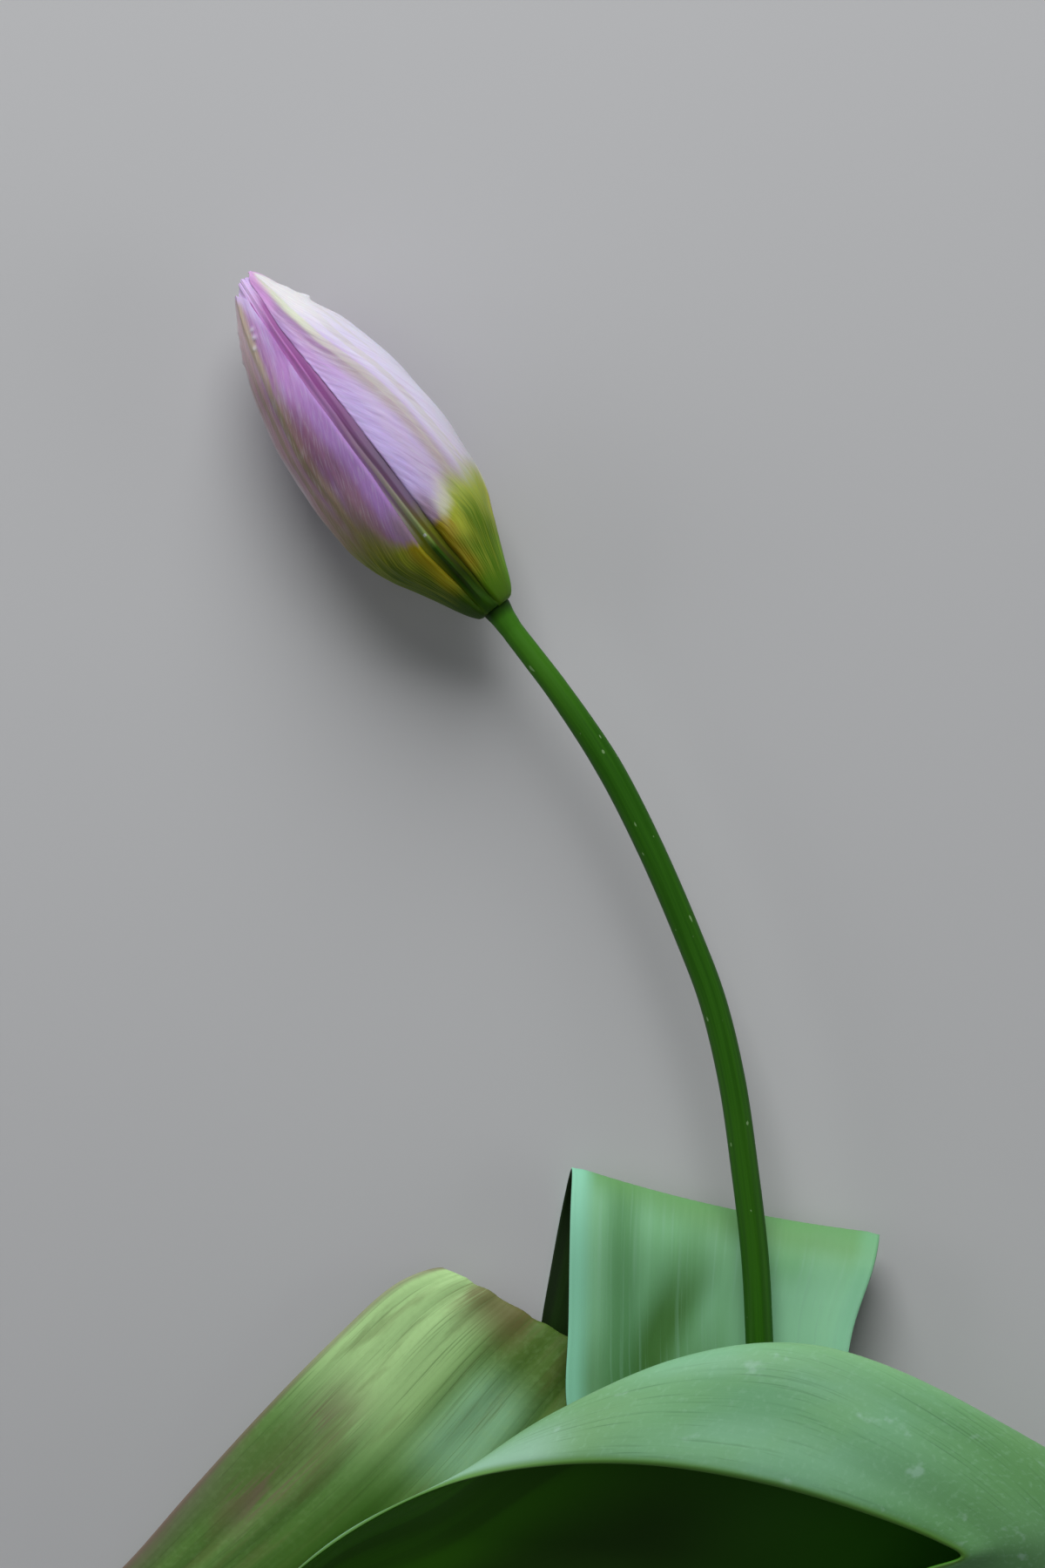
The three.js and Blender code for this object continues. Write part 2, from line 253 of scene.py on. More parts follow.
def blade_uv(rows, columns, quads, rim_count):
    """The upper face on the left of the texture, the under face on the right, the rim between them."""
    across, up = np.meshgrid(np.linspace(0.02, 0.46, columns), np.linspace(0.02, 0.98, rows))
    over = np.stack([across, up], -1).reshape(-1, 2)
    under = over + [0.52, 0]
    share = np.linspace(0.02, 0.98, rim_count + 1)
    near, far = share[:-1], share[1:]
    left, right = np.repeat([[0.475], [0.525]], rim_count, 1)
    strip = np.stack([left, far, left, near, right, near, right, far], -1).reshape(-1, 4, 2)
    return np.concatenate([over[quads], under[quads[:, ::-1]], strip])


# %% [markdown]
# ## The bud's wall
# A closed bud is nearly a body turned on a lathe: one curve of radius over the distance from the
# stem. Each tepal is a strip of that wall, and the three inner ones stand a little deeper. Angles
# are counted from the middle of the upper seam towards the right. The whole bud is twisted a few
# degrees about its axis, which moves that seam off its top.

# %% Outline and axis of the bud
BUD_FOOT = np.array([-3.3, 20.6, 8.95])
BUD_AXIS = unit(np.array([-0.6108, 0.7919, 0.0]))
UP = np.array([0.0, 0.0, 1.0])
BUD_RIGHT = np.cross(BUD_AXIS, UP)
# millimetres that the axis bends to the right, over the distance from the foot
BUD_SWAY = [(0, 0), (4, -0.2), (9, -0.5), (22, -0.5), (40, -0.2), (47.5, 0)]
BUD_LENGTH = 47.5
# degrees that the seam turns off the top, over the distance from the foot
BUD_TWIST = [(0, -14), (4, -8.5), (10, -6.6), (14, -5.1), (20, -3.1), (28, -3.3), (38, -5.5), (44, -6)]
# (distance from the foot along the axis, radius)
BUD_OUTLINE = [
    (-0.3, 1.12), (-0.5, 1.7), (-0.4, 2.25), (0.4, 2.9), (1.6, 3.55), (3.6, 4.45), (6.3, 5.75),
    (8.7, 7.05), (11.5, 8.15), (14.5, 8.85), (19.4, 9.15), (25.6, 8.95), (31, 8.2), (37, 6.5),
    (43.4, 3.55), (46.5, 1.6), (47.5, 0.7),
]
wall = Route(BUD_OUTLINE)


def bud_point(a, radius, degrees):
    """The point at a distance along the axis, a radius from it and an angle from the upper seam."""
    turn = np.radians(degrees + along(BUD_TWIST, a))
    side = (radius * np.sin(turn) + along(BUD_SWAY, a))[..., None]
    height = (radius * np.cos(turn))[..., None]
    return BUD_FOOT + BUD_AXIS * np.asarray(a)[..., None] + BUD_RIGHT * side + UP * height


print("outline length of the bud:", round(wall.length, 1), "mm")

# %% [markdown]
# ## The strip of one tepal
# The strip is a grid of rows along the bud and columns across the tepal. It leaves a slot to its
# neighbour and draws in to a round tip. Its keel makes a low roof over the midrib, which stands a
# little nearer to the seam on top than the middle of the strip.

# %% A tepal's grid
TEPAL_ROWS = 180
TEPAL_COLUMNS = 97
ROW_CROWDING = 1.5  # more than 1 sets the rows closer near the tip
SLOT_PITCH = 60  # degrees from a tepal's middle to the middle of its slot
VEINS_FAN = 10  # where the veins begin to fan out
TIP_LEAN = [(44.5, 0), (47.5, 1)]  # the share of a tip's lean outwards
VEIN_SPREAD = 9.0  # the bud's radius where the veins lie a millimetre apart
VEIN_SLANT = 0.35  # how fast they fan out to the margins above the base
# degrees from the middle of a tepal to its midrib
MIDRIB_TURN = [(0, 4), (10, 10), (24, 17), (30, 23), (36, 31), (41, 31), (47.5, 23)]


class TepalGrid:
    """A tepal's grid: a and radius on the bud, and millimetres from the midrib and the margin.

    end is the share of the wall that it covers, and recess how deep it lies. least is its least half
    width in degrees, and so is the keel's width. The tip is rounded over some millimetres, and stays
    blunt by a share of its width. side says how far the midrib stands off the middle, and its sign
    to which side.
    """

    def __init__(self, end, recess, slot, least, keel, keel_width, rounding, blunt, lean=0.0, side=0):
        share = 1 - (1 - np.linspace(0, 1, TEPAL_ROWS)) ** ROW_CROWDING
        self.v = np.linspace(-1, 1, TEPAL_COLUMNS)[None, :]
        distance = share * end * wall.length
        place = wall.at(distance)
        slope = wall.heading(distance)
        recess = along(recess, place[:, 0])
        a = place[:, 0] + slope[:, 1] * recess
        radius = np.maximum(place[:, 1] - slope[:, 0] * recess, 0.3) + lean * along(TIP_LEAN, a)
        free = SLOT_PITCH - np.degrees(along(slot, a) / (2 * radius))
        to_tip = np.clip((end * wall.length - distance) / rounding, 0, 1)
        half = np.maximum(free, least) * np.maximum(np.sqrt(1 - (1 - to_tip) ** 2), blunt)
        self.turn = -self.v * half[:, None]
        self.a = np.repeat(a[:, None], TEPAL_COLUMNS, 1)
        off_midrib = self.turn - side * along(MIDRIB_TURN, self.a)
        outward = 1 - 2 * (side > 0)
        self.across = np.radians(off_midrib) * radius[:, None] * outward
        fan = VEIN_SLANT * np.maximum(self.a - VEINS_FAN, 0)
        self.vein = np.radians(off_midrib) * VEIN_SPREAD * outward + fan
        self.edge = (1 - np.abs(self.v)) * np.radians(half[:, None]) * radius[:, None]
        crest = along(keel, self.a) * np.maximum(1 - np.abs(off_midrib) / keel_width, 0)
        self.radius = radius[:, None] + crest

    def place(self, angle, relief):
        return bud_point(self.a, self.radius + relief, angle + self.turn)

    def marks(self, **more):
        return {"along": self.a, "across": self.across, "edge": self.edge, "vein": self.vein, **more}


# %% [markdown]
# ## The outer tepals
# Three thick tepals close the bud. They have fine veins, a raised midrib that splits in two towards
# the base, faint cross wrinkles, margins that roll in to the seam, and small hard bumps near the
# tip. All of this is lifted in the mesh, not painted.

# %% Outer tepals
OUTER_SLOT = [
    (0, 2.1), (4, 2.3), (10, 2.75), (14, 2.55), (20, 2.25), (32, 2), (36, 1.6), (40, 1.25), (44, 1.5),
    (47, 1.2),
]
OUTER_KEEL = [(20, 0), (34, 0.3), (44, 0.35), (47, 0.1)]
TEPAL_THICKNESS = 0.55
MARGIN_THICKNESS = 0.12
ROLL_WIDTH = 0.5
ROLL_DEPTH = [(0, 0.3), (8, 0.35), (22, 0.2), (28, 0.1), (46, 0.05)]
FLUSH = [(0, 0)]  # the outer tepals are the bud's wall
MIDRIB_FORK = [(0, 0.9), (12, 0.8), (28, 0.45), (44, 0.15)]
SIDE_RIBS = [(0, 1.6), (12, 3), (30, 2.4), (46, 0.5)]

# (distance along the bud, angle, height, size) of the bumps on the right and left tepals, in mm
RIGHT_BUMPS = [(41.5, 94, 0.25, 0.45), (41.0, 95, 0.32, 0.3), (43.3, 86, 0.1, 0.5)]
LEFT_BUMPS = [
    (41.7, -28, 0.2, 0.25), (40.8, -29, 0.24, 0.28), (39.8, -34, 0.18, 0.25), (42.8, -77, 0.2, 0.6),
    (41.3, -80, 0.16, 0.4), (39.7, -84, 0.25, 0.6), (37.6, -82, 0.12, 0.8), (44.4, -74, 0.1, 0.5),
]


def outer_relief(grid, angle, bumps, seed):
    fullness = rise(grid.a, 2, 9) * (1 - rise(grid.a, 40, 46))
    lanes = grid.vein * 1.2 + 0.3 * ripple(grid.v * 2, grid.a / 12, seed)
    veins = 0.012 * np.cos(2 * math.pi * lanes) * fullness * (1 + ripple(grid.v * 3, grid.a / 9, seed + 5))
    fork = along(MIDRIB_FORK, grid.a)
    midrib = 0.09 * (ridge(grid.across, fork, 0.35) + ridge(grid.across, -fork, 0.35)) * rise(grid.a, 2, 8)
    side_ribs = 0.05 * ridge(np.abs(grid.across), along(SIDE_RIBS, grid.a), 0.5)
    wrinkles = 0.022 * ripple(grid.vein / 0.9, grid.a / 4, seed + 1) * fullness
    swell = 0.08 * ripple(grid.across / 5, grid.a / 9, seed + 2) * fullness
    roll = -along(ROLL_DEPTH, grid.a) * (1 - np.clip(grid.edge / ROLL_WIDTH, 0, 1)) ** 2
    relief = veins + midrib + side_ribs + wrinkles + swell + roll
    knobs = np.zeros_like(relief)
    for a, degrees, height, size in bumps:
        aside = np.radians(angle + grid.turn - degrees) * grid.radius
        knob = np.exp(-((grid.a - a) ** 2 + aside**2) / size**2)
        knobs = np.maximum(knobs, knob)
        relief = relief + height * knob
    return relief, knobs


def tepal_piece(name, node, slot, grid, places, low, **marks):
    """Closes a tepal's blade, which is thin at its margins and has a lowest height."""
    inward = MARGIN_THICKNESS + (TEPAL_THICKNESS - MARGIN_THICKNESS) * rise(grid.edge, 0, 2)
    floors = (low, low + TEPAL_THICKNESS)
    tepal = blade(name, places, np.zeros_like(inward), inward, floors, grid.marks(**marks))
    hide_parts(node)
    return tepal


def outer_tepal(name, node, angle, end, bumps, seed, lean=0.0, side=0):
    grid = TepalGrid(
        end, FLUSH, OUTER_SLOT, least=34, keel=OUTER_KEEL, keel_width=13, rounding=2.1, blunt=0.4,
        lean=lean, side=side,
    )
    relief, knobs = outer_relief(grid, angle, bumps, seed)
    return tepal_piece(name, node, "tepal_outer", grid, grid.place(angle, relief), 0, knob=knobs)


right_tepal = outer_tepal("right_tepal", "tepal_outer_1", 60, 0.997, RIGHT_BUMPS, 3, lean=0.6, side=-1)
left_tepal = outer_tepal("left_tepal", "tepal_outer_2", -60, 0.965, LEFT_BUMPS, 7, lean=0.2, side=0.74)
under_tepal = outer_tepal("under_tepal", "tepal_outer_3", 180, 0.985, [], 11)

# %% [markdown]
# ## The inner tepals
# Of the inner three, one shows in the seam: a raised pale rib in a dark strip, nearer to the left
# tepal. It widens to a green rib at the base, and its ragged lilac tip stands between the outer tips.

# %% Inner tepals
INNER_SLOT = [(0, 1.2), (47.5, 1)]
INNER_KEEL = [(1, 0), (4, 0.45), (20, 0.4), (44, 0.25), (46, 0.1)]
INNER_LOWEST = 0.97
INNER_END = 0.985
# how deep they lie under the wall: the top one rises at its tip, and the others bend in to close the bud
RISING = [(-0.3, 0.1), (1, 0.4), (8, 0.42), (20, 0.28), (28, 0.2), (40, 0.2), (44, 0.1), (46, -0.1)]
CLOSING = [(-0.3, 0.1), (1, 0.4), (8, 0.42), (20, 0.28), (28, 0.2), (42, 0.3), (46, 1.3)]
RIB_PLACE = [
    (0, 0.1), (4, -0.1), (10, -0.06), (20, -0.45), (24, -0.5), (32, -0.2), (36, 0), (40, 0), (44, 0.2),
]
RIB_WIDTH = [(0, 0.65), (4, 0.5), (12, 0.38), (24, 0.3), (32, 0.2), (38, 0.16), (46, 0.14)]
RIB_HEIGHT = [(0, 0.25), (10, 0.18), (28, 0.12), (40, 0.1), (44, 0.05)]
DROP_AT = 10.9  # a small bright drop sits on the rib


def inner_relief(grid, off_rib, seed):
    rib = ridge(off_rib, 0, along(RIB_WIDTH, grid.a)) * rise(grid.a, -0.4, 1)
    groove = -0.07 * ridge(np.abs(off_rib), 0.5, 0.18) * rise(grid.a, 1, 4) * (1 - rise(grid.a, 40, 43))
    veins = 0.015 * np.cos(2 * math.pi * grid.v * 11) * rise(grid.a, 2, 9)
    swell = 0.04 * ripple(grid.across / 4, grid.a / 7, seed)
    drop = 0.2 * ridge(grid.a, DROP_AT, 0.18) * ridge(off_rib, 0, 0.18)
    return rib, along(RIB_HEIGHT, grid.a) * rib + groove + veins + swell + drop


def inner_tepal(name, node, angle, recess, rib_share, seed):
    grid = TepalGrid(
        INNER_END, recess, INNER_SLOT, least=60, keel=INNER_KEEL, keel_width=6, rounding=2.2, blunt=0.8
    )
    off_rib = grid.across - along(RIB_PLACE, grid.a) * rib_share
    rib, relief = inner_relief(grid, off_rib, seed)
    teeth = 0.2 * ripple(grid.across * 1.3, 0, seed) + 0.12 * ripple(grid.across * 4, 0, seed)
    slant = 0.45 * np.minimum(grid.across + 0.3, 0)
    grid.a += (teeth + slant) * rise(grid.a, 44.4, 46.4)
    places = grid.place(angle, relief)
    return tepal_piece(name, node, "tepal_inner", grid, places, INNER_LOWEST, rib=rib, off_rib=off_rib)


inner_tepals = [
    inner_tepal("inner_tepal_top", "tepal_inner_1", 0, RISING, 1, 21),
    inner_tepal("inner_tepal_right", "tepal_inner_2", 120, CLOSING, 0, 22),
    inner_tepal("inner_tepal_left", "tepal_inner_3", 240, CLOSING, 0, 23),
]

# %% [markdown]
# ## Lofts for stem, ovary and stamens
# These organs are round, so each is a row of rings along a route. The stem has two close rings at
# its cut, which keep the edge of the cut face crisp.


# %% Lofts
def loft(name, distance, centres, headings, radii, sides, lobes=0, lobe_depth=0.0):
    """A closed tube of rings. lobes makes its section a soft triangle, square and so on."""
    side = unit(np.cross(headings, UP))
    top = np.cross(side, headings)
    turn = np.linspace(0, 2 * math.pi, sides, endpoint=False)
    reach = np.asarray(radii)[:, None] * (1 + lobe_depth * np.cos(lobes * turn))
    x = reach * np.cos(turn)
    y = reach * np.sin(turn)
    rings = centres[:, None] + side[:, None] * x[..., None] + top[:, None] * y[..., None]
    count = len(centres)
    index = np.arange(count * sides).reshape(count, sides)
    after = np.roll(index, -1, 1)
    quads = np.stack([index[:-1], index[1:], after[1:], after[:-1]], -1).reshape(-1, 4)
    polygons = quads.tolist() + [index[0].tolist(), index[-1, ::-1].tolist()]
    marks = {"along": np.repeat(distance, sides), "ring_x": x, "ring_y": y}
    return add_piece(name, rings.reshape(-1, 3), polygons, loft_uv(count, sides, turn), marks)


def loft_uv(count, sides, turn):
    left, low = np.meshgrid(np.arange(sides) / sides, np.linspace(0.02, 0.88, count)[:-1])
    right = left + 1 / sides
    high = low + 0.86 / (count - 1)
    quads = np.stack([left, low, left, high, right, high, right, low], -1).reshape(-1, 2)
    disc = np.stack([np.cos(turn), np.sin(turn)], -1) * 0.04
    return np.concatenate([quads, disc + [0.2, 0.94], disc[::-1] + [0.6, 0.94]])


# %% Ovary and stamens
RINGS_PER_ROW = 6


def bud_organ(name, node, profile, angle, sides, lobes=0, lobe_depth=0.0):
    """A loft inside the bud, from (distance along it, offset from its axis, radius) rows."""
    rings = spline(profile, np.linspace(0, 1, RINGS_PER_ROW * len(profile)))
    a, offset, radius = rings.T
    centres = bud_point(a, offset, np.full(len(a), angle))
    headings = np.repeat(BUD_AXIS[None], len(a), 0)
    organ = loft(name, a, centres, headings, np.maximum(radius, 0.1), sides, lobes, lobe_depth)
    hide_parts(node)
    return organ


OVARY_PROFILE = [
    (2.32, 0, 0.8), (4, 0, 1.3), (8, 0, 1.55), (13, 0, 1.5), (16.5, 0, 1.1), (17.3, 0, 1.25),
    (18.3, 0, 1.75), (19.2, 0, 1.6), (19.6, 0, 0.7),
]
STAMEN_PROFILE = [
    (2.32, 1.42, 0.3), (4, 2.1, 0.5), (7, 3, 0.45), (9.4, 3.5, 0.2), (9.9, 3.6, 0.6), (11, 3.7, 0.85),
    (15, 3.7, 0.8), (17.4, 3.6, 0.5), (18, 3.6, 0.15),
]
ovary = bud_organ("ovary", "pistil", OVARY_PROFILE, 0, sides=48, lobes=3, lobe_depth=0.16)
stamens = [
    bud_organ(f"fine_stamen_{k + 1}", f"stamen_{k + 1}", STAMEN_PROFILE, 60 * k, sides=24)
    for k in range(6)
]

# %% [markdown]
# ## The stem
# The stem stands straight among the leaves and then leans over in one long bend. It flares where the
# tepals sit on it, and the cut end is a plain flat face.

# %% Stem
STEM_ROUTE = Route([
    (-2.92, 20.11, 8.95), (-1.3, 17.8, 8.95), (1.3, 14.4, 9), (4.1, 10.7, 9.1), (9.7, 2.3, 9.2),
    (14.5, -7, 9.3), (19.1, -17.6, 9.4), (21.8, -24.8, 9.5), (24, -33.9, 9.6), (25.5, -44.1, 9.6),
    (26.7, -54.5, 9.6), (27.2, -64, 9.6), (27.9, -84, 9.6), (28, -100, 9.6), (28, -119, 9.6),
])
STEM_RADII = [(0, 1.68), (1.2, 1.45), (3, 1.3), (12, 1.38), (22, 1.55), (90, 1.6), (150, 1.68)]
# (distance along the bud, radius) of the receptacle, with the shoulder that carries the tepals
KNOB = [(2, 0.5), (1.95, 0.62), (1.6, 0.8), (0.4, 0.85), (-0.2, 0.95), (-0.26, 1.5), (-0.4, 1.66)]
STEM_SIDES = 48

reach = np.concatenate([np.linspace(0.02, 3, 12), np.linspace(3.4, STEM_ROUTE.length - 0.15, 300)])
reach = np.append(reach, [STEM_ROUTE.length - 0.02, STEM_ROUTE.length])
stem_radii = along(STEM_RADII, reach)
stem_radii[-1] -= 0.1  # the cut's edge is broken by a tenth of a millimetre
knob_a, knob_radii = np.array(KNOB).T
on_axis = np.zeros(len(KNOB))
centres = np.concatenate([bud_point(knob_a, on_axis, on_axis), STEM_ROUTE.at(reach)])
headings = np.concatenate([np.repeat(-BUD_AXIS[None], len(KNOB), 0), STEM_ROUTE.heading(reach)])
radii = np.concatenate([knob_radii, stem_radii])
distance = np.concatenate([on_axis, reach])
stem = loft("flower_stem", distance, centres, headings, radii, STEM_SIDES)
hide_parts("stem")

# %% [markdown]
# ## The leaves
# A leaf is drawn as a row of stations with one margin, the midrib and the other margin. Splines run
# through them, and each cross section is a parabola. The stations are few, so the grid is ironed:
# each row is averaged with its neighbours until no crease is left.

# %% A leaf's grid
LEAF_COLUMNS = 105
ROWS_PER_STATION = 20
LEAF_THICKNESS = 0.7
THIN_SHARE = 0.4  # of the thickness, at the margins
IRONINGS = 16


class LeafGrid:
    """A leaf's grid with its millimetres along the blade, across it and from its margin."""

    def __init__(self, stations):
        rows = ROWS_PER_STATION * (len(stations) - 1) + 1
        u = np.linspace(0, 1, rows)
        self.v = np.linspace(-1, 1, LEAF_COLUMNS)[None, :]
        v = self.v[..., None]
        margin, midrib, other = (spline(stations[:, k], u)[:, None] for k in range(3))
        grid = midrib * (1 - v * v) + margin * v * (v - 1) / 2 + other * v * (v + 1) / 2
        for _ in range(IRONINGS):
            grid[1:-1] = (grid[:-2] + 2 * grid[1:-1] + grid[2:]) / 4
        self.grid = grid
        steps = np.linalg.norm(np.diff(grid, axis=1), axis=2)
        travel = np.concatenate([np.zeros((rows, 1)), np.cumsum(steps, 1)], 1)
        middle = LEAF_COLUMNS // 2
        self.across = travel - travel[:, middle : middle + 1]
        self.edge = np.minimum(travel, travel[:, -1:] - travel)
        advance = np.linalg.norm(np.diff(grid[:, middle], axis=0), axis=1)
        self.along = np.repeat(np.concatenate([[0], np.cumsum(advance)])[:, None], LEAF_COLUMNS, 1)
        self.length = self.along[-1, 0]
        self.v = np.repeat(self.v, rows, 0)


def leaf_piece(name, node, leaf, relief):
    """Lifts the relief off the leaf's grid and closes the blade. Its margins are thinner."""
    places = leaf.grid + grid_normals(leaf.grid) * relief[..., None]
    places[..., 2] = np.maximum(places[..., 2], LEAF_THICKNESS / 2)
    half = LEAF_THICKNESS / 2 * (THIN_SHARE + (1 - THIN_SHARE) * rise(leaf.edge, 0, 1.6))
    marks = {"along": leaf.along, "across": leaf.across, "edge": leaf.edge, "lane": leaf.v}
    piece = blade(name, places, half, half, (0, 0), marks)
    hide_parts(node)
    return piece


def fine_veins(leaf, count, height, seed):
    """Parallel veins that run with the blade and close up where it narrows."""
    lanes = leaf.v * count + 0.3 * ripple(leaf.v * 3, leaf.along / 30, seed)
    return height * np.cos(2 * math.pi * lanes) * rise(leaf.edge, 0.3, 2)


# %% [markdown]
# ## The front leaf
# It leaves the stem to the right, turns back over it in a high arch and hangs to the left with its
# hollow side down. Its skin is almost smooth: fine parallel veins and a few shallow dents.

# %% Front leaf
# one row for each station: x, y and z of one margin, of the midrib and of the other margin
FRONT_STATIONS = np.reshape([
    28.218, -116, 12.09, 30.5, -116, 9.6, 28.218, -116, 7.11,
    30.8, -108, 16, 34.5, -110, 10.5, 33.5, -112.5, 5,
    33.5, -99.5, 21, 44.5, -107, 12.5, 45, -113.5, 2.5,
    38.5, -92.3, 25, 57, -102, 14.5, 60, -110.5, -0.5,
    45, -88.6, 27, 65, -95, 16, 70.5, -103, -0.5,
    49.5, -87, 27.5, 66.5, -86, 17.5, 73, -93, 2,
    46.6, -85.2, 28, 61.5, -78.5, 19.5, 70.5, -87, 4.5,
    38, -81.8, 29, 50, -70.5, 21.5, 59, -90, 8.5,
    27, -78.6, 29.5, 34, -64.1, 22.5, 40.5, -91.5, 12.5,
    13.7, -76.5, 29.3, 19, -66, 22.5, 22, -92.5, 14.5,
    0.8, -76.9, 28.3, 4, -73.4, 21.5, 5, -95, 14.5,
    -9.7, -79.4, 26.5, -9.5, -83.5, 20.5, -9, -97, 14,
    -20.3, -85.1, 23.5, -21, -89, 18.5, -20, -100, 14,
    -32, -95, 17.5, -32.5, -99, 14.5, -31, -104.5, 12,
    -44, -106.6, 9.5, -44.3, -107, 9.5, -44, -107.4, 9.5,
], (-1, 3, 3))
front = LeafGrid(FRONT_STATIONS)
front_dents = 0.15 * ripple(front.across / 10, front.along / 30, 32) * rise(front.edge, 0, 5)
front_relief = fine_veins(front, 22, 0.012, 31) + front_dents
front_leaf = leaf_piece("front_leaf", "leaf_front", front, front_relief)

# %% [markdown]
# ## The left leaf
# It runs left under the others, folds over at a high ridge and comes back down to the lower left.
# Broad ribs run with it, so light and shade fall in long stripes.

# %% Left leaf
LEFT_STATIONS = np.reshape([
    27.782, -111, 7.11, 25.5, -111, 9.6, 27.782, -111, 12.09,
    21, -109.5, 3.5, 22, -107, 7.5, 24.5, -105, 10,
    12, -108.5, 0.6, 14, -102, 4.2, 18.5, -98, 6.5,
    1, -101.5, 0.6, 5, -92.5, 2.4, 12, -88.5, 3.6,
    -8, -88, 0.8, -1.5, -81.5, 2, 8.5, -79.5, 2.6,
    -12.5, -73, 1.6, -3, -71.5, 2.2, 10, -74, 2.4,
    -12, -62.5, 2.2, -1, -65, 2.4, 12, -71.5, 2.4,
    -8.9, -56, 3.9, 2, -62.2, 3.6, 14, -70, 3.3,
    -14, -57.2, 5.4, -3, -67, 5.2, 9, -76, 4.6,
    -21.4, -63.6, 6, -11, -76, 6.2, 1, -86, 5.8,
    -30.3, -72.7, 5.4, -20, -85, 6.4, -9, -95, 6.2,
    -38.7, -82, 4.2, -30, -93, 5.4, -21, -102, 5.4,
    -46.4, -90.8, 2.6, -40.5, -99.5, 3.7, -33.5, -107, 3.8,
    -55, -98.5, 1.2, -51, -105, 1.8, -46, -110, 2,
    -62.2, -110.3, 0.3, -62.4, -110.5, 0.3, -62.2, -110.9, 0.3,
], (-1, 3, 3))
left = LeafGrid(LEFT_STATIONS)
left_ribs = 0.14 * ripple(left.v * 4, left.along / 45, 41) * rise(left.edge, 0, 4)
left_relief = fine_veins(left, 18, 0.015, 42) + left_ribs
left_leaf = leaf_piece("left_leaf", "leaf_left", left, left_relief)

# %% [markdown]
# ## The back leaf
# It rises under the stem with its hollow side up, folds back at its top and lies flat beneath
# itself. Two soft furrows run down its face.

# %% Back leaf
BACK_STATIONS = np.reshape([
    25.538, -96, 9.166, 28, -96, 7.1, 30.462, -96, 9.166,
    20.5, -89.5, 8.8, 27.5, -89.5, 6.8, 33, -90, 8.4,
    10.5, -83, 9.2, 25.5, -81, 6.6, 35.3, -82, 8.3,
    5.3, -73, 9.3, 23, -71, 6.5, 36.6, -72.5, 8.3,
    5.3, -62, 9, 22.5, -61, 6.5, 37.9, -63, 8.2,
    5.5, -49.5, 8.3, 23, -53.5, 6.3, 40.4, -55.5, 8,
    5.7, -44.2, 4.8, 23.3, -49.1, 3.6, 41.2, -52, 4.4,
    4.7, -48.5, 1.2, 21.7, -53, 0.3, 40, -56.5, 1,
    3.3, -56, 0.3, 17.5, -60, 0.3, 33.5, -65, 0.3,
    2, -64, 0.3, 12.5, -68.5, 0.3, 24.5, -75, 0.3,
    1.8, -72, 0.3, 8.2, -76, 0.3, 15, -80.5, 0.3,
    4.8, -81.8, 0.3, 5.2, -82, 0.3, 5.6, -82.2, 0.3,
], (-1, 3, 3))
back = LeafGrid(BACK_STATIONS)
back_open = rise(back.along, 8, 20) * (1 - rise(back.along, 32, 43))
furrow = 0.9 * ridge(back.v, -0.42, 0.2) + 0.3 * ridge(back.v, 0.5, 0.15)
back_relief = fine_veins(back, 18, 0.015, 52) + furrow * back_open
back_leaf = leaf_piece("back_leaf", "leaf_back", back, back_relief)

# %% [markdown]
# ## Writing finishes as sums
# A finish is a tree of shader nodes. A small class wraps a node's output and lets Python's signs add
# the Math nodes: 1 - mask adds a Subtract node. A skin is painted in coats, and a mask says where
# each coat lies. Colours are written as on a screen, red, green and blue from 0 to 255.


# %% Shader maths
class Value:
    """An output of a shader node, which can be used in sums like a number."""

    def __init__(self, finish, socket):
        self.finish = finish
        self.socket = socket

    def __add__(self, other):
        return self.finish.math("ADD", self, other)

    def __sub__(self, other):
        return self.finish.math("SUBTRACT", self, other)

    def __rsub__(self, other):
        return self.finish.math("SUBTRACT", other, self)

    def __mul__(self, other):
        return self.finish.math("MULTIPLY", self, other)

    def __abs__(self):
        return self.finish.math("ABSOLUTE", self, 0)

    __radd__ = __add__
    __rmul__ = __mul__

    def rise(self, low, high):
        """A mask: 0 below low, 1 above high and a smooth step between them."""
        inputs = {"Value": self, "From Min": low, "From Max": high}
        return self.finish.node("ShaderNodeMapRange", inputs, interpolation_type="SMOOTHSTEP")

    def fall(self, low, high):
        return 1 - self.rise(low, high)

    def lay(self, share, colour):
        """Lays a colour over this one, as thickly as the share says."""
        self.socket = self.finish.mix(share, self, colour).socket


def tint(colour):
    """A screen colour as the linear numbers that a shader takes. An output stays as it is."""
    if isinstance(colour, Value):
        return colour
    share = np.array(colour) / 255
    linear = np.where(share <= 0.04045, share / 12.92, ((share + 0.055) / 1.055) ** 2.4)
    return (*linear.tolist(), 1.0)


print("the middle grey of a screen, for a shader:", [round(x, 3) for x in tint((128, 128, 128))])


